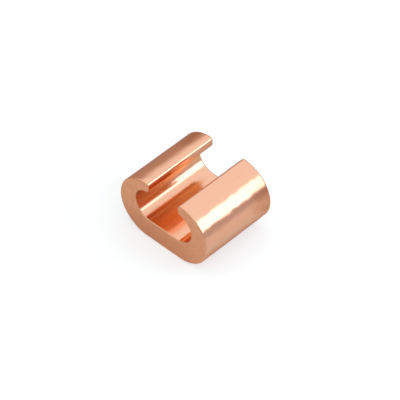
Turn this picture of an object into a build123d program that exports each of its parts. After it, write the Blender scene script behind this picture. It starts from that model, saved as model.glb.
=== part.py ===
from build123d import *
import os

# C-tap connector: one length of drawn copper C-section, sawn square at both ends and deburred.
# Two stranded conductors drop through the mouth and lie side by side in the two bays, then a
# crimping tool presses the jaws shut round them.
# Sizes are in millimetres. The origin is the middle of the flat base, +X runs across the section,
# +Y runs along the conductors and +Z points up, out of the mouth.

# Room for the conductors
bay_diameter = 7.5
bay_spacing = 8.0
mouth_width = 8.1

# Metal round that room
floor_thickness = 5.0
jaw_thickness = 2.4
side_wall = 4.35
connector_length = 19.0

# Edges
jaw_tip_round = 0.8
sawn_edge_break = 0.35

# Worked out from the values above
section_height = floor_thickness + bay_diameter + jaw_thickness
section_width = side_wall + bay_spacing + bay_diameter + side_wall
bay_axis_height = floor_thickness + bay_diameter / 2
largest_tip_round = 0.45 * jaw_thickness


def drawn_outline():
    """The outside of the section: two half rounds joined by the flat base and the flat crown."""
    flat_width = section_width - section_height
    return Pos(0, section_height / 2) * SlotCenterToCenter(flat_width, section_height)


def conductor_space():
    """The inside of the section: the two round bays with a level floor between them."""
    return Pos(0, bay_axis_height) * SlotCenterToCenter(bay_spacing, bay_diameter)


def mouth_gap():
    """The gap between the jaws, from the level of the bays' axes to above the crown."""
    gap = Rectangle(mouth_width, section_height, align=(Align.CENTER, Align.MIN))
    return Pos(0, bay_axis_height) * gap


def blunted(section, radius):
    """The section with every outward corner rounded: shrunk by the radius, then grown back.
    The jaw tips hold its only outward corners, so the bays and the outside keep their arcs."""
    return offset(offset(section, -radius), radius, kind=Kind.ARC)


def c_section():
    """The C-shaped section, with its height along the sketch's Y."""
    sharp = drawn_outline() - conductor_space() - mouth_gap()
    return blunted(sharp, min(jaw_tip_round, largest_tip_round))


def sawn_length():
    """The section drawn along Y, half to each side of the origin, with both ends deburred."""
    drawn = extrude(Plane.XZ * c_section(), connector_length / 2, both=True)
    faces_along = drawn.faces().sort_by(Axis.Y)
    rims = faces_along[0].edges() + faces_along[-1].edges()
    return fillet(rims, sawn_edge_break)


c_tap_body = sawn_length()
c_tap_body.label = "c_tap_body"
c_tap_body.color = Color(0.85, 0.52, 0.38)

os.makedirs("parts", exist_ok=True)
export_step(c_tap_body, "parts/c_tap_body.step")

size = c_tap_body.bounding_box().size
print("size", round(size.X, 2), round(size.Y, 2), round(size.Z, 2))
print("volume", round(c_tap_body.volume, 1), "solids", len(c_tap_body.solids()))
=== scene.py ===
import math

import bpy
import numpy as np
from bpy.props import FloatProperty, FloatVectorProperty, IntProperty, PointerProperty
from mathutils import Matrix, Vector


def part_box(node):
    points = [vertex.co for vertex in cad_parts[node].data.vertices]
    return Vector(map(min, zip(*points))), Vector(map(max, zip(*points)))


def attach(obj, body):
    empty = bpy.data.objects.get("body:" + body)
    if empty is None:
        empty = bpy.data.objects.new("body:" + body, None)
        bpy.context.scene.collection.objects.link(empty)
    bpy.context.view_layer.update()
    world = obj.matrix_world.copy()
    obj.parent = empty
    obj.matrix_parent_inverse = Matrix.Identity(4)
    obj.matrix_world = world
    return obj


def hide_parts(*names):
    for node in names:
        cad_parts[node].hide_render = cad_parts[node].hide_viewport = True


# C-tap connector: one length of drawn copper C-section, sawn square and deburred at both ends.
# It lies on its flat back with the mouth up. +X runs across the section, +Y along the
# conductors, and all sizes are in metres.

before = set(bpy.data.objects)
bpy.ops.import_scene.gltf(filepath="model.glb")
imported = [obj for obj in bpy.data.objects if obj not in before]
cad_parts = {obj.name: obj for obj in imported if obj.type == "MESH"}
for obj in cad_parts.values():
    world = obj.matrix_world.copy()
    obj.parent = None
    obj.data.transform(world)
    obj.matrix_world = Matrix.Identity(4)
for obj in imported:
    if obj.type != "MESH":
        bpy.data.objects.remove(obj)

bl_info = {
    "name": "C-tap connector",
    "version": (1, 0, 0),
    "blender": (4, 5, 0),
    "location": "View3D > Sidebar > C-tap",
    "description": "A drawn copper C-tap connector, sawn to length, on a pale studio table",
    "category": "Add Mesh",
}

LOW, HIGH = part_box("c_tap_body")
MM = 0.001


class CTapSizes(bpy.types.PropertyGroup):
    """Sizes of the C-section and of the length sawn from it."""

    section_width: FloatProperty(
        name="Section width",
        description="Overall width across the two rounded sides",
        default=HIGH.x - LOW.x,
        unit="LENGTH",
        precision=5,
    )
    jaw_thickness: FloatProperty(
        name="Jaw thickness",
        description="Metal between the bays and the crown",
        default=2.4 * MM,
        unit="LENGTH",
        precision=5,
    )
    connector_length: FloatProperty(
        name="Connector length",
        description="Length sawn from the drawn bar",
        default=HIGH.y - LOW.y,
        unit="LENGTH",
        precision=5,
    )
    bay_diameter: FloatProperty(
        name="Bay diameter",
        description="Diameter of the round bay that takes each conductor",
        default=7.5 * MM,
        unit="LENGTH",
        precision=5,
    )
    bay_spacing: FloatProperty(
        name="Bay spacing",
        description="Distance between the middles of the two bays",
        default=8.0 * MM,
        unit="LENGTH",
        precision=5,
    )
    mouth_width: FloatProperty(
        name="Mouth width",
        description="Gap between the two jaw tips",
        default=8.1 * MM,
        unit="LENGTH",
        precision=5,
    )
    floor_thickness: FloatProperty(
        name="Floor thickness",
        description="Metal between the flat back and the bays",
        default=5.0 * MM,
        unit="LENGTH",
        precision=5,
    )
    jaw_tip_round: FloatProperty(
        name="Jaw tip round",
        description="Radius on both corners of each jaw tip",
        default=0.8 * MM,
        unit="LENGTH",
        precision=5,
    )
    sawn_edge_break: FloatProperty(
        name="Sawn edge break",
        description="Radius left by deburring round each sawn face",
        default=0.35 * MM,
        unit="LENGTH",
        precision=5,
    )
    floor_sink: FloatProperty(
        name="Floor sink",
        description="Depth by which drawing leaves the floor below the foot of the bays' arcs",
        default=0.075 * MM,
        unit="LENGTH",
        precision=6,
    )
    sink_end: FloatProperty(
        name="Sink end",
        description="Way up the foot of each bay's wall that lies as low as the floor",
        default=0.45 * MM,
        unit="LENGTH",
        precision=6,
    )
    sink_fade: FloatProperty(
        name="Sink fade",
        description="Way past that end over which the wall comes back to its arc",
        default=0.7 * MM,
        unit="LENGTH",
        precision=6,
    )
    # The darkening along the foot of the left bay's wall is painted shade in the crease where the wall
    # meets the floor
    foot_reach: FloatProperty(
        name="Foot reach",
        description="Half the width of the tarnish along the foot of the left bay's wall",
        default=0.65 * MM,
        unit="LENGTH",
        precision=6,
    )
    foot_end: FloatProperty(
        name="Foot end",
        description="Place along the left bay where the tarnish on its foot has faded away",
        default=7.5 * MM,
        unit="LENGTH",
        precision=5,
    )
    # The side patch and the jaw patch are places where the copper's colour is painted darker
    side_patch_place: FloatVectorProperty(
        name="Side patch",
        description="Middle of the tarnished patch on the right side, near the far sawn end",
        default=(11.5 * MM, 8.4 * MM, 9.0 * MM),
        subtype="XYZ",
        unit="LENGTH",
        precision=5,
    )
    side_patch_reach: FloatVectorProperty(
        name="Side patch reach",
        description="Reach of that patch along each axis",
        default=(3.7 * MM, 3.7 * MM, 3.7 * MM),
        subtype="XYZ",
        unit="LENGTH",
        precision=5,
    )
    jaw_patch_place: FloatVectorProperty(
        name="Jaw patch",
        description="Middle of the tarnished patch on the left jaw's shoulder, near the far end",
        default=(-7.8 * MM, 7.6 * MM, 14.1 * MM),
        subtype="XYZ",
        unit="LENGTH",
        precision=5,
    )
    jaw_patch_reach: FloatVectorProperty(
        name="Jaw patch reach",
        description="Reach of that patch along each axis",
        default=(2.2 * MM, 4.0 * MM, 2.2 * MM),
        subtype="XYZ",
        unit="LENGTH",
        precision=5,
    )
    surface_slope: FloatProperty(
        name="Surface unevenness",
        description="Usual slope of the shallow lumps that drawing and tumbling leave on the walls",
        default=0.016,
        min=0.0,
        max=0.1,
        subtype="ANGLE",
    )
    bay_evenness: FloatProperty(
        name="Bay evenness",
        description="Share of those lumps that is missing on the sheltered walls of the bays",
        default=0.8,
        min=0.0,
        max=1.0,
        subtype="FACTOR",
    )
    steps_along_wall: IntProperty(
        name="Steps along the wall",
        description="Grid steps round the outside, and as many round the inside",
        default=280,
        min=40,
    )
    steps_across_tip: IntProperty(
        name="Steps across a tip",
        description="Grid steps round each blunt jaw tip",
        default=22,
        min=6,
    )
    steps_along_length: IntProperty(
        name="Steps along the length",
        description="Grid steps from one sawn end to the other",
        default=108,
        min=10,
    )
    steps_round_edge: IntProperty(
        name="Steps round an edge break",
        description="Grid steps round the radius of each sawn edge",
        default=6,
        min=2,
    )


class CopperFinish(bpy.types.PropertyGroup):
    """Colours and polish of the drawn walls and of the sawn ends."""

    drawn_colour: FloatVectorProperty(
        name="Drawn copper",
        description="Reflection colour of the bright drawn walls",
        default=(0.90, 0.47, 0.28),
        subtype="COLOR",
    )
    # Painted shade: a deeper, redder copper on the walls under the jaws stands in for the shade and
    # copper-to-copper reflection there
    under_jaw_shade_colour: FloatVectorProperty(
        name="Sheltered copper",
        description="Deeper reflection colour of the walls under the jaws, which tumbling hardly reaches",
        default=(0.95, 0.50, 0.21),
        subtype="COLOR",
    )
    # Darker copper colour: painted shade along the foot of the left bay's wall, and two darker patches
    dimmed_colour: FloatVectorProperty(
        name="Tarnished copper",
        description="Reflection colour where the copper is tarnished",
        default=(0.68, 0.30, 0.15),
        subtype="COLOR",
    )
    sawn_colour: FloatVectorProperty(
        name="Sawn copper",
        description="Reflection colour of the satin sawn ends",
        default=(0.86, 0.438, 0.235),
        subtype="COLOR",
    )
    edge_tint: FloatVectorProperty(
        name="Grazing tint",
        description="Colour that the copper keeps where it is seen at a grazing angle",
        default=(0.88, 0.66, 0.55),
        subtype="COLOR",
    )
    bay_smoothness: FloatProperty(
        name="Bay smoothness",
        description="Share of the outside's marks that is missing inside the bays",
        default=0.85,
        subtype="FACTOR",
    )
    drawn_roughness: FloatProperty(
        name="Drawn roughness",
        description="Roughness of the bright drawn walls",
        default=0.16,
        subtype="FACTOR",
    )
    sheltered_roughness: FloatProperty(
        name="Sheltered roughness",
        description="Roughness of the walls under the jaws",
        default=0.42,
        subtype="FACTOR",
    )
    sawn_roughness: FloatProperty(
        name="Sawn roughness",
        description="Roughness of the satin sawn ends",
        default=0.42,
        subtype="FACTOR",
    )
    draw_line_depth: FloatProperty(
        name="Draw line depth",
        description="Depth of the fine lines that the die leaves along the walls",
        default=0.0016 * MM,
        unit="LENGTH",
        precision=7,
    )
    dimple_depth: FloatProperty(
        name="Dimple depth",
        description="Depth of the small dimples that tumbling leaves on the walls",
        default=0.0030 * MM,
        unit="LENGTH",
        precision=7,
    )
    saw_mark_depth: FloatProperty(
        name="Saw mark depth",
        description="Depth of the marks that the saw leaves on the ends",
        default=0.004 * MM,
        unit="LENGTH",
        precision=7,
    )


class StudioSettings(bpy.types.PropertyGroup):
    """Camera, table and soft light round the connector."""

    azimuth: FloatProperty(
        name="Camera azimuth",
        description="Turn of the camera round the connector, from looking along +Y",
        default=math.radians(43.7566),
        subtype="ANGLE",
    )
    elevation: FloatProperty(
        name="Camera elevation",
        description="Height of the camera above the horizon",
        default=math.radians(45.1816),
        subtype="ANGLE",
    )
    lens: FloatProperty(
        name="Lens",
        description="Focal length on a sensor 36 mm wide",
        default=243.35,
        unit="CAMERA",
    )
    camera_distance: FloatProperty(
        name="Camera distance",
        description="Distance to the middle of the near bottom edge, along the line of sight",
        default=0.5489,
        unit="LENGTH",
    )
    table_size: FloatProperty(
        name="Table size",
        description="Width and depth of the pale table",
        default=3.0,
        unit="LENGTH",
    )
    # Painted light: the table's colour near the connector is a painted pool of light
    light_pool_colour: FloatVectorProperty(
        name="Table colour",
        description="Colour of the pale table near the connector",
        default=(0.87, 0.875, 0.95),
        subtype="COLOR",
    )
    # Table colour where that painted pool of light has faded
    far_right_colour: FloatVectorProperty(
        name="Far right table",
        description="Colour of the table further off on the right",
        default=(0.57, 0.53, 0.57),
        subtype="COLOR",
    )
    # Painted shade on the table behind the connector on the left
    left_shade_colour: FloatVectorProperty(
        name="Far left table",
        description="Colour of the table behind the connector on the left",
        default=(0.53, 0.465, 0.47),
        subtype="COLOR",
    )
    foot_glow: FloatVectorProperty(
        name="Foot glow",
        description="Cool light of the table just to the right, which evens out its warm reflection",
        default=(0.0, 0.15, 0.20),
        subtype="COLOR",
    )
    room_light: FloatProperty(
        name="Room light",
        description="Strength of the even light that falls on the table",
        default=0.88,
    )
    ceiling_colour: FloatVectorProperty(
        name="Ceiling",
        description="White ceiling as the metal mirrors it",
        default=(1.04, 1.13, 1.32),
        subtype="COLOR",
        soft_max=2.0,
    )
    right_wall_colour: FloatVectorProperty(
        name="Right wall",
        description="Grey wall to the right as the metal mirrors it",
        default=(0.54, 0.50, 0.56),
        subtype="COLOR",
    )
    left_wall_colour: FloatVectorProperty(
        name="Left wall",
        description="Warm wall to the left as the metal mirrors it",
        default=(0.52, 0.44, 0.41),
        subtype="COLOR",
    )
    softbox_colour: FloatVectorProperty(
        name="Softbox",
        description="Cool daylight softbox, with 1 as the brightness of a white page",
        default=(2.4, 2.8, 3.4),
        subtype="COLOR",
        soft_max=5.0,
    )


# Photograph: its side in pixels, and where it shows the middle of the near bottom edge
PHOTO_SIDE = 400
NEAR_EDGE_PIXEL = (163.030, 247.011)

# Camera: width of its sensor in millimetres, and the nearest and furthest that it sees
SENSOR_WIDTH = 36.0
CAMERA_CLIP = (0.01, 20.0)

# Points taken along the parts of the half section, before it is cut into even steps
FLAT_SAMPLES = 60
ROUND_SAMPLES = 120
BAY_SAMPLES = 700
OUTSIDE_SAMPLES = 900

# Lumps on the walls: seed, number and lengths of the waves, and the weight of each axis in them
LUMP_SEED = 11
LUMP_WAVES = 26
LUMP_LENGTHS = (1.3 * MM, 6.5 * MM)
LUMP_WEIGHTS = (0.75, 1.0, 0.75)

# Share of the connector's height up to which a point counts as part of the flat back
BACK_SHARE = 0.002

# Shares of the bay's radius: how far out the bays' own finish reaches, and how wide it fades
BAY_FINISH_REACH = 1.12
BAY_FINISH_FADE = 0.08

# Heights over the floor as shares of the bay's diameter: where the painted shade and the duller copper
# under the jaws start and how wide they come in, and where the painted shade on the foot ends and how
# wide it fades
SHELTER_START = 0.23
SHELTER_FADE = 0.12
FOOT_TOP = 0.30
FOOT_TOP_FADE = 0.10

# Along the bay: where the painted shade on the foot starts to widen, over which way and by which share,
# and over which way it fades at its far end
FOOT_WIDENS_AT = -4.0 * MM
FOOT_WIDENS_OVER = 3.0 * MM
FOOT_WIDENING = 0.5
FOOT_FADE = 4.0 * MM

# Waves in the edge of each darker patch, in radians per metre along each axis, and their
# share of the distance; then the strength of the patch on the jaw
PATCH_WAVES = ((2100.0, 1500.0, 2600.0), (-3900.0, 2900.0, 3300.0))
PATCH_WAVE_SHARE = 0.04
JAW_PATCH_STRENGTH = 0.8

# Patterns in the copper: grain size along each axis, and detail
DIE_LINES = ((0.16 * MM, 7.0 * MM, 0.16 * MM), 2.0)
DIMPLES = ((0.55 * MM, 0.8 * MM, 0.55 * MM), 1.0)
POLISH = ((1.4 * MM, 3.2 * MM, 1.4 * MM), 3.0)
MOTTLING = ((0.9 * MM, 1.0 * MM, 0.9 * MM), 2.0)
SAW_MARKS = ((6.0 * MM, 1.0, 0.13 * MM), 2.0)
SAW_TURN = math.radians(28.0)

# Span that most of a noise pattern's values lie in, and the spans in which the copper darkens
NOISE_SPAN = (0.3, 0.7)
DULL_SPAN = (0.55, 0.75)
MOTTLED_SPAN = (0.35, 0.7)

# Shade of the darkened copper, share of it that shows, and least and most of each roughness
DULLED_SHADE = 0.96
DULLED_SHARE = 0.6
MOTTLED_SHADE = 0.93
DRAWN_ROUGHNESS_SPREAD = (0.8, 1.25)
SAWN_ROUGHNESS_SPREAD = (0.92, 1.1)

# Parts of the mirrored table, each span from where the part is absent to where it is full: the
# painted pool of light by its distance, all but the painted shade on the left by the way across or the
# way to the front, and the cool light by its distance and its X. Last, the table's level under the
# connector.
PALE_SPAN = (120 * MM, 30 * MM)
LEFT_EDGE_FACING = (0.86, -0.51, 0.0)
LEFT_EDGE_SPAN = (-20 * MM, 8 * MM)
FRONT_SPAN = (-7 * MM, -15 * MM)
GLOW_DISTANCE_SPAN = (22 * MM, 15 * MM)
GLOW_X_SPAN = (11.5 * MM, 13 * MM)
TABLE_LEVEL = -0.01 * MM

# White page: strength and tint of the white that no shadow reaches, and the tint of the diffuse
# white that shadows fall on. The tints offset the warm light that the copper throws on the page.
PAGE_STRENGTH = 0.52
PAGE_TINT = (1.0, 1.035, 1.048, 1.0)
SHADOWED_TINT = (0.546, 0.560, 0.564, 1.0)
WHITE = (1.0, 1.0, 1.0, 1.0)

# Mirrored room: X of the direction from the left wall to the right one, and Z of the direction
# from the walls to the ceiling
WALL_SPAN = (-0.9, 0.3)
CEILING_SPAN = (math.sin(math.radians(15.5)), math.sin(math.radians(41.0)))

# Softbox: direction, distance, width and height, and the share of each half that fades
SOFTBOX_TOWARDS = (0.7286, 0.509, 0.4588)
SOFTBOX_DISTANCE = 1.0
SOFTBOX_SIZE = (0.72, 0.59)
SOFTBOX_FADES = (0.35, 0.22)


def straight(start, end, count):
    """Even steps from start to end, with the normal on the right of the way travelled."""
    share = np.linspace(0.0, 1.0, count)[:, None]
    points = np.asarray(start) * (1.0 - share) + np.asarray(end) * share
    way = (points[-1] - points[0]) / np.linalg.norm(points[-1] - points[0])
    return points, np.tile([way[1], -way[0]], (count, 1))


def arc(centre, radius, start, end, count):
    """Centre plus radius times (cos, sin) of an angle that runs evenly from start to end.

    A rising angle goes round metal and its normal points away from the centre. A falling angle
    goes round a hollow and its normal points to the centre.
    """
    angle = np.linspace(start, end, count)
    spoke = np.stack([np.cos(angle), np.sin(angle)], axis=1)
    return np.asarray(centre) + radius * spoke, spoke * np.sign(end - start)


def outer_height(sizes):
    """Height of the two half rounds that bound the outside, from the flat back up."""
    return sizes.floor_thickness + sizes.bay_diameter + sizes.jaw_thickness


def floor_sink(way, sizes):
    """Depth by which the floor and the foot of each bay's wall lie low, by the way up the wall.

    The floor lies low by the full sink. Above the sink's end it fades as exp(-(d / fade) squared),
    with d as the way past that end, so the wall's foot turns up more sharply than its arc.
    """
    past = np.maximum(way - sizes.sink_end, 0.0)
    return sizes.floor_sink * np.exp(-((past / sizes.sink_fade) ** 2))


def right_half_section(sizes):
    """Right half of the C-section, from the middle of the back to the middle of the floor.

    The outside is a straight back and a half round. The jaw tip has two rounds of the same
    radius and a straight face between them. The bay is an arc that ends on the straight floor,
    and both are set back into the metal by the floor's sink.
    Each round touches its neighbours, so its centre lies at the difference of the two radii from
    the outer arc's centre, and at their sum from the bay's.
    Returns points, normals and the arc lengths at the middle of the crown and heel rounds.
    """
    outer_radius = outer_height(sizes) / 2
    outer_middle = sizes.section_width / 2 - outer_radius
    bay_radius = sizes.bay_diameter / 2
    bay_middle = sizes.bay_spacing / 2
    bay_height = sizes.floor_thickness + bay_radius
    tip = sizes.mouth_width / 2
    tip_round = sizes.jaw_tip_round
    tip_middle = tip + tip_round

    crown_offset = tip_middle - outer_middle
    crown_height = outer_radius + math.sqrt((outer_radius - tip_round) ** 2 - crown_offset**2)
    crown_angle = math.atan2(crown_height - outer_radius, crown_offset)
    heel_offset = tip_middle - bay_middle
    heel_height = bay_height + math.sqrt((bay_radius + tip_round) ** 2 - heel_offset**2)
    heel_angle = math.atan2(heel_height - bay_height, heel_offset)
    quarter = math.pi / 2

    wall, facing = arc((bay_middle, bay_height), bay_radius, heel_angle, -quarter, BAY_SAMPLES)
    way = np.linspace(heel_angle + quarter, 0.0, BAY_SAMPLES) * bay_radius
    wall -= facing * floor_sink(way, sizes)[:, None]
    floor_height = sizes.floor_thickness - sizes.floor_sink

    pieces = [
        straight((0.0, 0.0), (outer_middle, 0.0), FLAT_SAMPLES),
        arc((outer_middle, outer_radius), outer_radius, -quarter, crown_angle, OUTSIDE_SAMPLES),
        arc((tip_middle, crown_height), tip_round, crown_angle, math.pi, ROUND_SAMPLES),
        straight((tip, crown_height), (tip, heel_height), FLAT_SAMPLES),
        arc((tip_middle, heel_height), tip_round, math.pi, math.pi + heel_angle, ROUND_SAMPLES),
        (wall, facing),
        straight((bay_middle, floor_height), (0.0, floor_height), FLAT_SAMPLES),
    ]
    points = np.concatenate([run for run, _ in pieces])
    normals = np.concatenate([normal for _, normal in pieces])
    step_lengths = np.linalg.norm(np.diff(points, axis=0), axis=1)
    travelled = np.concatenate([[0.0], np.cumsum(step_lengths)])
    ends = np.cumsum([len(run) for run, _ in pieces])
    crown_middle = (travelled[ends[1]] + travelled[ends[2] - 1]) / 2
    heel_middle = (travelled[ends[3]] + travelled[ends[4] - 1]) / 2
    return points, normals, travelled, crown_middle, heel_middle


def closed_section(sizes):
    """Whole C-section as one closed ring of points and normals.

    The right half is sampled at even arc lengths: from the back's middle to the crown round,
    across the tip, and from the heel round to the floor's middle. The left half mirrors it.
    The ring starts at the left crown round and runs under the back to the right one.
    """
    points, normals, travelled, crown_middle, heel_middle = right_half_section(sizes)
    half_steps = sizes.steps_along_wall // 2
    outside = np.linspace(0.0, crown_middle, half_steps + 1)
    tip = np.linspace(crown_middle, heel_middle, sizes.steps_across_tip + 1)
    inside = np.linspace(heel_middle, travelled[-1], half_steps + 1)

    def sampled(where):
        place = np.stack([np.interp(where, travelled, axis) for axis in points.T], axis=1)
        facing = np.stack([np.interp(where, travelled, axis) for axis in normals.T], axis=1)
        return place, facing / np.linalg.norm(facing, axis=1)[:, None]

    def mirrored(part):
        return tuple(values[::-1] * [-1.0, 1.0] for values in part)

    out, across, within = sampled(outside), sampled(tip), sampled(inside)
    parts = [mirrored(out), out, across, within, mirrored(within), mirrored(across)]
    ring = np.concatenate([place[:-1] for place, _ in parts])
    return ring, np.concatenate([facing[:-1] for _, facing in parts])


def wall_unevenness(points, sizes):
    """Height of the shallow lumps on the walls at each point.

    A sum of plane waves with chosen lengths and seeded directions and phases. Each wave's height
    is its length over a full turn times its share of the usual slope, so long and short waves
    tilt the surface alike. Waves run mostly along the length, as the lumps lie across it.
    """
    draws = np.random.default_rng(LUMP_SEED)
    lengths = np.geomspace(*LUMP_LENGTHS, LUMP_WAVES)
    direction = draws.normal(size=(LUMP_WAVES, 3)) * LUMP_WEIGHTS
    direction /= np.linalg.norm(direction, axis=1)[:, None]
    phase = draws.uniform(0.0, 2.0 * math.pi, LUMP_WAVES)
    slope = sizes.surface_slope * math.sqrt(2.0 / LUMP_WAVES)
    height = np.zeros(points.shape[:-1])
    for wave, turn, start in zip(2.0 * math.pi / lengths, direction, phase):
        height += slope / wave * np.sin(points @ (turn * wave) + start)
    return height


def inside_bays(points, sizes):
    """Share by which each point lies within the outline of the two bays: 1 on their walls.

    The share falls evenly to 0 as the distance from the line between the bays' middles grows to
    the reach of the bays' finish.
    """
    bay_radius = sizes.bay_diameter / 2
    bay_height = sizes.floor_thickness + bay_radius
    past_middle = np.maximum(np.abs(points[..., 0]) - sizes.bay_spacing / 2, 0.0)
    reach = np.hypot(past_middle, points[..., 2] - bay_height)
    inside = (bay_radius * BAY_FINISH_REACH - reach) / (bay_radius * BAY_FINISH_FADE)
    return np.clip(inside, 0.0, 1.0)


def sheltered(points, sizes):
    """Share by which each point is hidden under the jaws: 0 on the floor, 1 up the bays' walls."""
    risen = (points[..., 2] - sizes.floor_thickness) / sizes.bay_diameter
    # This share carries the painted shade under the jaws as well as their duller roughness
    return inside_bays(points, sizes) * np.clip((risen - SHELTER_START) / SHELTER_FADE, 0.0, 1.0)


def patch(points, middle, reach):
    """Share by which each point lies on a darker patch with this middle and reach.

    With d as the distance from the middle in units of the reach along each axis, the share is
    exp(-d cubed). Two waves in d make the patch's edge uneven.
    """
    waves = sum(np.sin(points @ np.array(wave)) for wave in PATCH_WAVES)
    away = np.linalg.norm((points - np.asarray(middle)) / np.asarray(reach), axis=-1)
    return np.exp(-((away * (1.0 + PATCH_WAVE_SHARE * waves)) ** 3))


def dimmed(points, sizes):
    """Share by which each point is painted darker: painted shade along the foot of the left bay's wall,
    and two darker patches.

    The foot's share is exp(-(d / reach) squared), with d as the way across from its middle.
    It holds on the lower wall only, fades out along the bay and is wider at the near end.
    """
    across, along = -points[..., 0] - sizes.bay_spacing / 2, points[..., 1]
    risen = (points[..., 2] - sizes.floor_thickness) / sizes.bay_diameter
    widened = np.clip((FOOT_WIDENS_AT - along) / FOOT_WIDENS_OVER, 0.0, 1.0)
    reach = sizes.foot_reach * (1.0 + FOOT_WIDENING * widened)
    foot = np.exp(-((across / reach) ** 2))
    foot = foot * inside_bays(points, sizes) * np.clip((FOOT_TOP - risen) / FOOT_TOP_FADE, 0.0, 1.0)
    foot = foot * np.clip((sizes.foot_end - along) / FOOT_FADE, 0.0, 1.0)
    side = patch(points, sizes.side_patch_place, sizes.side_patch_reach)
    jaw = patch(points, sizes.jaw_patch_place, sizes.jaw_patch_reach)
    return np.maximum(np.maximum(foot, side), JAW_PATCH_STRENGTH * jaw)


def swept_walls(sizes):
    """Grid of points that carries the closed section along +Y, rows by ring places.

    At each end the section draws in by the edge break times (1 - cos t) while it comes out to
    the sawn face by the edge break times sin t, with t running through a quarter turn.
    The lumps are fainter in the bays, and none stands out of the flat back.
    """
    ring, facing = closed_section(sizes)
    edge = sizes.sawn_edge_break
    quarter = np.linspace(0.0, math.pi / 2, sizes.steps_round_edge + 1)
    inner_half = sizes.connector_length / 2 - edge
    middle = np.linspace(-inner_half, inner_half, sizes.steps_along_length + 1)
    far = inner_half + edge * np.sin(quarter[1:])
    drawn_in = edge * (1.0 - np.cos(quarter[1:]))
    along = np.concatenate([-far[::-1], middle, far])
    inset = np.concatenate([drawn_in[::-1], np.zeros(len(middle)), drawn_in])

    grid = np.empty((len(along), len(ring), 3))
    grid[..., 0] = ring[:, 0]
    grid[..., 1] = along[:, None]
    grid[..., 2] = ring[:, 1]
    normal = np.zeros_like(grid)
    normal[..., 0] = facing[:, 0]
    normal[..., 2] = facing[:, 1]
    height = wall_unevenness(grid, sizes) * (1.0 - sizes.bay_evenness * inside_bays(grid, sizes))
    on_back = ring[:, 1] < outer_height(sizes) * BACK_SHARE
    height[:, on_back] = np.minimum(height[:, on_back], 0.0)
    return grid + normal * (height - inset[:, None])[..., None]


def end_face(border, sizes):
    """Inner points of a sawn face, blended between the four runs of its border.

    The border is one closed ring: outside run, right tip, inside run, left tip. Each point is
    the mix of the outside and inside runs at its share inward, plus the mix of the two tips at
    its share along, less the mix of the four corners.
    Returns the inner points and the grid of vertex numbers, with -1 for those points.
    """
    run, across = sizes.steps_along_wall, sizes.steps_across_tip
    count = len(border)
    numbers = np.full((across + 1, run + 1), -1)
    numbers[0] = np.arange(run + 1)
    numbers[:, run] = run + np.arange(across + 1)
    numbers[across] = run + across + np.arange(run + 1)[::-1]
    numbers[:, 0] = (count - np.arange(across + 1)) % count
    along = np.linspace(0.0, 1.0, run + 1)[None, :, None]
    inward = np.linspace(0.0, 1.0, across + 1)[:, None, None]
    outside, inside = border[numbers[0]][None], border[numbers[across]][None]
    left, right = border[numbers[:, 0]][:, None], border[numbers[:, run]][:, None]
    corners = (
        (1 - along) * (1 - inward) * outside[:, :1]
        + along * (1 - inward) * outside[:, -1:]
        + (1 - along) * inward * inside[:, :1]
        + along * inward * inside[:, -1:]
    )
    runs = (1 - inward) * outside + inward * inside
    blend = runs + (1 - along) * left + along * right - corners
    return blend[1:-1, 1:-1].reshape(-1, 3), numbers


def quads(numbers):
    """Four corner numbers for each cell of a grid of vertex numbers."""
    return np.stack(
        [numbers[:-1, :-1], numbers[:-1, 1:], numbers[1:, 1:], numbers[1:, :-1]], axis=-1
    ).reshape(-1, 4)


def connector_mesh(sizes):
    """Closed mesh of the connector: swept walls and two sawn faces that share their borders.

    The cells of the walls and of the far face are turned round, so that all faces point outwards.
    The second material slot goes to the sawn faces and to each edge break but its first step.
    """
    walls = swept_walls(sizes)
    rows, places, _ = walls.shape
    wall_numbers = np.arange(rows * places).reshape(rows, places)
    wall_numbers = np.concatenate([wall_numbers, wall_numbers[:, :1]], axis=1)
    wall_faces = quads(wall_numbers)[:, ::-1]
    face_row = np.repeat(np.arange(rows - 1), places)
    edge_rows = sizes.steps_round_edge - 1
    wall_slots = (face_row < edge_rows) | (face_row >= rows - 1 - edge_rows)

    vertices, faces, slots = [walls.reshape(-1, 3)], [wall_faces], [wall_slots]
    first_free = rows * places
    for row, turned in ((0, False), (rows - 1, True)):
        inner, numbers = end_face(walls[row], sizes)
        cap = np.where(numbers < 0, 0, numbers + row * places)
        cap[1:-1, 1:-1] = first_free + np.arange(len(inner)).reshape(cap[1:-1, 1:-1].shape)
        cap_faces = quads(cap)
        faces.append(cap_faces[:, ::-1] if turned else cap_faces)
        slots.append(np.ones(len(cap_faces), dtype=bool))
        vertices.append(inner)
        first_free += len(inner)

    mesh = bpy.data.meshes.new("copper_c_tap")
    mesh.from_pydata(np.concatenate(vertices).tolist(), [], np.concatenate(faces).tolist())
    mesh.polygons.foreach_set("material_index", np.concatenate(slots).astype(np.int32))
    mesh.polygons.foreach_set("use_smooth", np.ones(len(mesh.polygons), dtype=bool))

    # The shares mark the bays, the painted shade and duller copper under the jaws, and the painted shade
    # on the left bay's foot together with two darker patches
    shares = {"bay": inside_bays, "sheltered": sheltered, "dimmed": dimmed}
    for name, share in shares.items():
        values = share(np.concatenate(vertices), sizes).astype(np.float32)
        mesh.attributes.new(name, "FLOAT", "POINT").data.foreach_set("value", values)
    mesh.update()
    return mesh


def node(tree, kind, **settings):
    """New node of one kind with its settings and unlinked inputs filled in."""
    made = tree.nodes.new(kind)
    for name, value in settings.items():
        if hasattr(made, name):
            setattr(made, name, value)
        else:
            made.inputs[name].default_value = value
    return made


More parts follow.
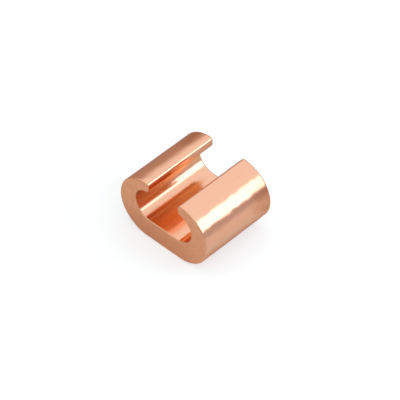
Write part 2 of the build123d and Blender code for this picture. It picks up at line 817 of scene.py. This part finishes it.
def stretched_noise(tree, name, pattern, turn=0.0):
    """Noise on Object coordinates, with a grain size along each axis, turned about Y."""
    grain, detail = pattern
    where = node(tree, "ShaderNodeTexCoord")
    stretch = node(tree, "ShaderNodeMapping")
    stretch.inputs["Rotation"].default_value = (0.0, turn, 0.0)
    stretch.inputs["Scale"].default_value = [1 / size for size in grain]
    noise = node(tree, "ShaderNodeTexNoise", label=name, Scale=1.0, Detail=detail)
    tree.links.new(where.outputs["Object"], stretch.inputs["Vector"])
    tree.links.new(stretch.outputs["Vector"], noise.inputs["Vector"])
    return noise.outputs["Fac"]


def ranged(tree, value, span, to_span=(0.0, 1.0), smooth=False):
    """Value carried over from one span to another, evenly or smoothly, and held at both ends."""
    step = node(tree, "ShaderNodeMapRange")
    step.interpolation_type = "SMOOTHSTEP" if smooth else "LINEAR"
    for name, number in zip(("From Min", "From Max", "To Min", "To Max"), (*span, *to_span)):
        step.inputs[name].default_value = number
    tree.links.new(value, step.inputs["Value"])
    return step.outputs["Result"]


def computed(tree, operation, *values):
    """Result of one Math node on linked values."""
    made = node(tree, "ShaderNodeMath", operation=operation)
    for value, socket in zip(values, made.inputs):
        tree.links.new(value, socket)
    return made.outputs[0]


def mixed_colour(tree, share, first, second):
    """Colour that goes from first to second as share goes from 0 to 1."""
    mix = node(tree, "ShaderNodeMix", data_type="RGBA")
    tree.links.new(share, mix.inputs["Factor"])
    for socket, colour in ((mix.inputs[6], first), (mix.inputs[7], second)):
        if isinstance(colour, bpy.types.NodeSocket):
            tree.links.new(colour, socket)
        else:
            socket.default_value = (*colour, 1.0)
    return mix.outputs[2]


def mixed_value(tree, share, first, second):
    """Value that goes from the linked first to the number second as share goes from 0 to 1."""
    mix = node(tree, "ShaderNodeMix", data_type="FLOAT")
    tree.links.new(share, mix.inputs[0])
    tree.links.new(first, mix.inputs[2])
    mix.inputs[3].default_value = second
    return mix.outputs[0]


def mixed_shader(tree, share, first, second):
    """Shader that goes from first to second as share goes from 0 to 1."""
    mix = node(tree, "ShaderNodeMixShader")
    for source, socket in zip((share, first, second), mix.inputs):
        tree.links.new(source, socket)
    return mix.outputs[0]


def bumped(tree, height, depth, before=None, strength=None):
    """Surface normal tilted by a height pattern of a real depth, on top of an earlier tilt."""
    bump = node(tree, "ShaderNodeBump", Strength=1.0, Distance=depth)
    tree.links.new(height, bump.inputs["Height"])
    if strength is not None:
        tree.links.new(strength, bump.inputs["Strength"])
    if before is not None:
        tree.links.new(before, bump.inputs["Normal"])
    return bump.outputs["Normal"]


def metal(name, edge_tint):
    """Material with a Principled shader set to metal. Returns material, tree and shader."""
    material = bpy.data.materials.new(name)
    material.use_nodes = True
    tree = material.node_tree
    shader = tree.nodes["Principled BSDF"]
    shader.inputs["Metallic"].default_value = 1.0
    shader.inputs["Specular Tint"].default_value = (*edge_tint, 1.0)
    return material, tree, shader


def drawn_copper(finish):
    """Bright drawn copper: fine die lines along +Y, shallow dimples and slightly uneven polish.

    Under the jaws it has a deeper, redder colour painted in for the shade and copper-to-copper
    reflection there, and it is duller. Painted shade darkens the foot of the left bay's wall, two
    patches are darker, and in the bays its marks are fainter.
    """
    material, tree, shader = metal("drawn_copper", finish.edge_tint)
    die_lines = stretched_noise(tree, "die lines", DIE_LINES)
    dimples = stretched_noise(tree, "dimples", DIMPLES)
    polish = stretched_noise(tree, "polish", POLISH)
    inside, under, dimming = [
        node(tree, "ShaderNodeAttribute", attribute_name=name).outputs["Fac"]
        for name in ("bay", "sheltered", "dimmed")
    ]

    # Painted shade and copper-to-copper reflection under the jaws
    clean = mixed_colour(tree, under, finish.drawn_colour, finish.under_jaw_shade_colour)
    # Painted shade on the left bay's foot, and two darker patches
    clean = mixed_colour(tree, dimming, clean, finish.dimmed_colour)
    dulled = [DULLED_SHADE * part for part in finish.drawn_colour]
    shade = ranged(tree, polish, DULL_SPAN, (0.0, DULLED_SHARE))
    tree.links.new(mixed_colour(tree, shade, clean, dulled), shader.inputs["Base Color"])

    rough = [finish.drawn_roughness * share for share in DRAWN_ROUGHNESS_SPREAD]
    uneven = ranged(tree, polish, NOISE_SPAN, rough)
    roughness = mixed_value(tree, under, uneven, finish.sheltered_roughness)
    tree.links.new(roughness, shader.inputs["Roughness"])
    marked = ranged(tree, inside, (0.0, 1.0), (1.0, 1.0 - finish.bay_smoothness))
    tilt = bumped(tree, die_lines, finish.draw_line_depth, strength=marked)
    tilt = bumped(tree, dimples, finish.dimple_depth, tilt, marked)
    tree.links.new(tilt, shader.inputs["Normal"])
    return material


def sawn_copper(finish):
    """Satin sawn copper: fine parallel saw marks over a soft mottling."""
    material, tree, shader = metal("sawn_copper", finish.edge_tint)
    mottling = stretched_noise(tree, "mottling", MOTTLING)
    saw_marks = stretched_noise(tree, "saw marks", SAW_MARKS, SAW_TURN)
    dark = [MOTTLED_SHADE * part for part in finish.sawn_colour]
    shade = ranged(tree, mottling, MOTTLED_SPAN)
    tree.links.new(mixed_colour(tree, shade, finish.sawn_colour, dark), shader.inputs["Base Color"])
    rough = [finish.sawn_roughness * share for share in SAWN_ROUGHNESS_SPREAD]
    tree.links.new(ranged(tree, mottling, NOISE_SPAN, rough), shader.inputs["Roughness"])
    tilt = bumped(tree, saw_marks, finish.saw_mark_depth)
    tree.links.new(bumped(tree, mottling, finish.dimple_depth, tilt), shader.inputs["Normal"])
    return material


def table_material(studio):
    """Matt table that the metal mirrors, and for the camera a white page with a shadow.

    In the mirror the table has a painted pool of light near the connector and takes the far right colour
    further off. Behind the connector on the left it is painted darker as shade, and just to the right it
    glows a little. The page is an even white plus a diffuse one, full white where no shadow lies.
    """
    material = bpy.data.materials.new("pale_table")
    material.use_nodes = True
    tree = material.node_tree
    where = node(tree, "ShaderNodeTexCoord")
    off = node(tree, "ShaderNodeVectorMath", operation="LENGTH")
    across = node(tree, "ShaderNodeVectorMath", operation="DOT_PRODUCT")
    across.inputs[1].default_value = LEFT_EDGE_FACING
    place = node(tree, "ShaderNodeSeparateXYZ")
    for reader in (off, across, place):
        tree.links.new(where.outputs["Object"], reader.inputs[0])

    # Painted pool of light round the connector, fading to the far right colour
    near = ranged(tree, off.outputs["Value"], PALE_SPAN)
    right = mixed_colour(tree, near, studio.far_right_colour, studio.light_pool_colour)
    past_left = ranged(tree, across.outputs["Value"], LEFT_EDGE_SPAN)
    in_front = ranged(tree, place.outputs["Y"], FRONT_SPAN)
    side = computed(tree, "MAXIMUM", past_left, in_front)
    close = ranged(tree, off.outputs["Value"], GLOW_DISTANCE_SPAN)
    beside = ranged(tree, place.outputs["X"], GLOW_X_SPAN)

    sheet = tree.nodes["Principled BSDF"]
    sheet.inputs["Roughness"].default_value = 1.0
    sheet.inputs["Specular IOR Level"].default_value = 0.0
    sheet.inputs["Emission Color"].default_value = (*studio.foot_glow, 1.0)
    # Painted shade on the left, the painted pool of light elsewhere
    sheet_colour = mixed_colour(tree, side, studio.left_shade_colour, right)
    tree.links.new(sheet_colour, sheet.inputs["Base Color"])
    tree.links.new(computed(tree, "MULTIPLY", close, beside), sheet.inputs["Emission Strength"])

    page = node(tree, "ShaderNodeEmission", Strength=PAGE_STRENGTH, Color=PAGE_TINT)
    shadowed = node(tree, "ShaderNodeBsdfDiffuse", Color=SHADOWED_TINT)
    white = node(tree, "ShaderNodeAddShader")
    tree.links.new(page.outputs[0], white.inputs[0])
    tree.links.new(shadowed.outputs[0], white.inputs[1])
    to_camera = node(tree, "ShaderNodeLightPath").outputs["Is Camera Ray"]
    shader = mixed_shader(tree, to_camera, sheet.outputs[0], white.outputs[0])
    tree.links.new(shader, tree.nodes["Material Output"].inputs["Surface"])
    return material


def rectangle(name, half_wide, half_high, level):
    """Mesh of one flat rectangle round the Z axis, facing +Z."""
    signs = [(-1, -1), (1, -1), (1, 1), (-1, 1)]
    corners = [(x * half_wide, y * half_high, level) for x, y in signs]
    mesh = bpy.data.meshes.new(name)
    mesh.from_pydata(corners, [], [(0, 1, 2, 3)])
    return mesh


def add_table(studio):
    """Flat pale table, just under the connector."""
    half = studio.table_size / 2
    mesh = rectangle("table", half, half, TABLE_LEVEL)
    mesh.materials.append(table_material(studio))
    table = bpy.data.objects.new("table", mesh)
    bpy.context.scene.collection.objects.link(table)


def softbox_material(colour, half_sizes):
    """Even glow that fades smoothly to clear at the edges of the softbox."""
    material = bpy.data.materials.new("softbox")
    material.use_nodes = True
    tree = material.node_tree
    where = node(tree, "ShaderNodeTexCoord")
    parts = node(tree, "ShaderNodeSeparateXYZ")
    tree.links.new(where.outputs["Object"], parts.inputs[0])
    fades = []
    for part, half, edge in zip(parts.outputs, half_sizes, SOFTBOX_FADES):
        way_out = computed(tree, "ABSOLUTE", part)
        fades.append(ranged(tree, way_out, (half, half * (1 - edge)), smooth=True))
    glow = node(tree, "ShaderNodeEmission", Strength=1.0, Color=(*colour, 1.0))
    clear = node(tree, "ShaderNodeBsdfTransparent")
    both = computed(tree, "MULTIPLY", *fades)
    shader = mixed_shader(tree, both, clear.outputs[0], glow.outputs[0])
    tree.links.new(shader, tree.nodes["Material Output"].inputs["Surface"])
    return material


def add_softbox(studio):
    """Softbox: a bright rectangle that fades at its edges, facing the connector from afar."""
    middle = Vector(SOFTBOX_TOWARDS).normalized() * SOFTBOX_DISTANCE
    turn = (-middle).to_track_quat("-Z", "Y").to_matrix().to_4x4()
    half_sizes = [size / 2 for size in SOFTBOX_SIZE]
    mesh = rectangle("softbox", *half_sizes, 0.0)
    mesh.materials.append(softbox_material(studio.softbox_colour, half_sizes))
    box = bpy.data.objects.new("softbox", mesh)
    box.matrix_world = Matrix.Translation(middle) @ turn
    box.visible_camera = False
    bpy.context.scene.collection.objects.link(box)


def add_room(studio):
    """World: even light for the table, walls and a ceiling for the metal's mirror, white behind."""
    world = bpy.data.worlds.new("studio_room")
    bpy.context.scene.world = world
    world.use_nodes = True
    tree = world.node_tree
    tree.nodes.clear()
    where = node(tree, "ShaderNodeTexCoord")
    parts = node(tree, "ShaderNodeSeparateXYZ")
    tree.links.new(where.outputs["Generated"], parts.inputs[0])
    side = ranged(tree, parts.outputs["X"], WALL_SPAN, smooth=True)
    wall = mixed_colour(tree, side, studio.left_wall_colour, studio.right_wall_colour)
    rise = ranged(tree, parts.outputs["Z"], CEILING_SPAN, smooth=True)
    mirror = node(tree, "ShaderNodeBackground")
    tree.links.new(mixed_colour(tree, rise, wall, studio.ceiling_colour), mirror.inputs["Color"])

    even = node(tree, "ShaderNodeBackground", Strength=studio.room_light, Color=WHITE)
    page = node(tree, "ShaderNodeBackground", Color=WHITE)
    ray = node(tree, "ShaderNodeLightPath").outputs
    lit = mixed_shader(tree, ray["Is Glossy Ray"], even.outputs[0], mirror.outputs[0])
    straight_on = computed(tree, "MAXIMUM", ray["Is Camera Ray"], ray["Is Transmission Ray"])
    shader = mixed_shader(tree, straight_on, lit, page.outputs[0])
    out = node(tree, "ShaderNodeOutputWorld")
    tree.links.new(shader, out.inputs["Surface"])


def add_camera(studio, sizes):
    """Camera that puts the middle of the near bottom edge on its pixel of the photograph."""
    azimuth, elevation = studio.azimuth, studio.elevation
    level = math.cos(elevation)
    back = Vector((math.sin(azimuth) * level, -math.cos(azimuth) * level, math.sin(elevation)))
    right = Vector((math.cos(azimuth), math.sin(azimuth), 0.0))
    up = back.cross(right)
    data = bpy.data.cameras.new("camera")
    data.sensor_width = SENSOR_WIDTH
    data.lens = studio.lens
    data.clip_start, data.clip_end = CAMERA_CLIP
    pixel = studio.camera_distance * data.sensor_width / data.lens / PHOTO_SIDE
    near_edge = Vector((0.0, -sizes.connector_length / 2, 0.0))
    shift_right = (PHOTO_SIDE / 2 - NEAR_EDGE_PIXEL[0]) * pixel
    shift_up = (NEAR_EDGE_PIXEL[1] - PHOTO_SIDE / 2) * pixel
    camera = bpy.data.objects.new("camera", data)
    turn = Matrix((right, up, back)).transposed().to_4x4()
    place = near_edge + back * studio.camera_distance + right * shift_right + up * shift_up
    camera.matrix_world = Matrix.Translation(place) @ turn
    bpy.context.scene.collection.objects.link(camera)
    bpy.context.scene.camera = camera


class CTAP_OT_connector(bpy.types.Operator):
    """Add the drawn copper connector with its bright walls and satin sawn ends"""

    bl_idname = "mesh.add_c_tap_connector"
    bl_label = "C-tap connector"

    def execute(self, context):
        sizes, finish = context.scene.c_tap_sizes, context.scene.c_tap_finish
        mesh = connector_mesh(sizes)
        mesh.materials.append(drawn_copper(finish))
        mesh.materials.append(sawn_copper(finish))
        connector = bpy.data.objects.new("copper_c_tap", mesh)
        context.scene.collection.objects.link(connector)
        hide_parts("c_tap_body")
        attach(connector, "root")
        return {"FINISHED"}


class CTAP_OT_stage(bpy.types.Operator):
    """Add the pale table, the soft light and the camera"""

    bl_idname = "scene.add_c_tap_stage"
    bl_label = "Studio stage"

    def execute(self, context):
        studio = context.scene.c_tap_studio
        add_table(studio)
        add_room(studio)
        add_softbox(studio)
        add_camera(studio, context.scene.c_tap_sizes)
        context.scene.view_settings.view_transform = "Standard"
        return {"FINISHED"}


class CTAP_PT_panel(bpy.types.Panel):
    """Sidebar panel that lists the connector and its stage."""

    bl_idname = "CTAP_PT_panel"
    bl_label = "C-tap connector"
    bl_space_type = "VIEW_3D"
    bl_region_type = "UI"
    bl_category = "C-tap"

    def draw(self, context):
        for group in ("c_tap_sizes", "c_tap_finish", "c_tap_studio"):
            settings = getattr(context.scene, group)
            box = self.layout.box()
            for name in settings.bl_rna.properties.keys():
                if name not in ("rna_type", "name"):
                    box.prop(settings, name)
        self.layout.operator(CTAP_OT_connector.bl_idname)
        self.layout.operator(CTAP_OT_stage.bl_idname)


CLASSES = (
    CTapSizes,
    CopperFinish,
    StudioSettings,
    CTAP_OT_connector,
    CTAP_OT_stage,
    CTAP_PT_panel,
)


def register():
    for cls in CLASSES:
        bpy.utils.register_class(cls)
    bpy.types.Scene.c_tap_sizes = PointerProperty(type=CTapSizes)
    bpy.types.Scene.c_tap_finish = PointerProperty(type=CopperFinish)
    bpy.types.Scene.c_tap_studio = PointerProperty(type=StudioSettings)


def unregister():
    del bpy.types.Scene.c_tap_studio
    del bpy.types.Scene.c_tap_finish
    del bpy.types.Scene.c_tap_sizes
    for cls in reversed(CLASSES):
        bpy.utils.unregister_class(cls)


def main():
    """Registers the add-on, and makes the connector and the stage."""
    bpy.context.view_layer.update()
    register()
    bpy.ops.mesh.add_c_tap_connector()
    bpy.ops.scene.add_c_tap_stage()


if __name__ == "__main__":
    main()
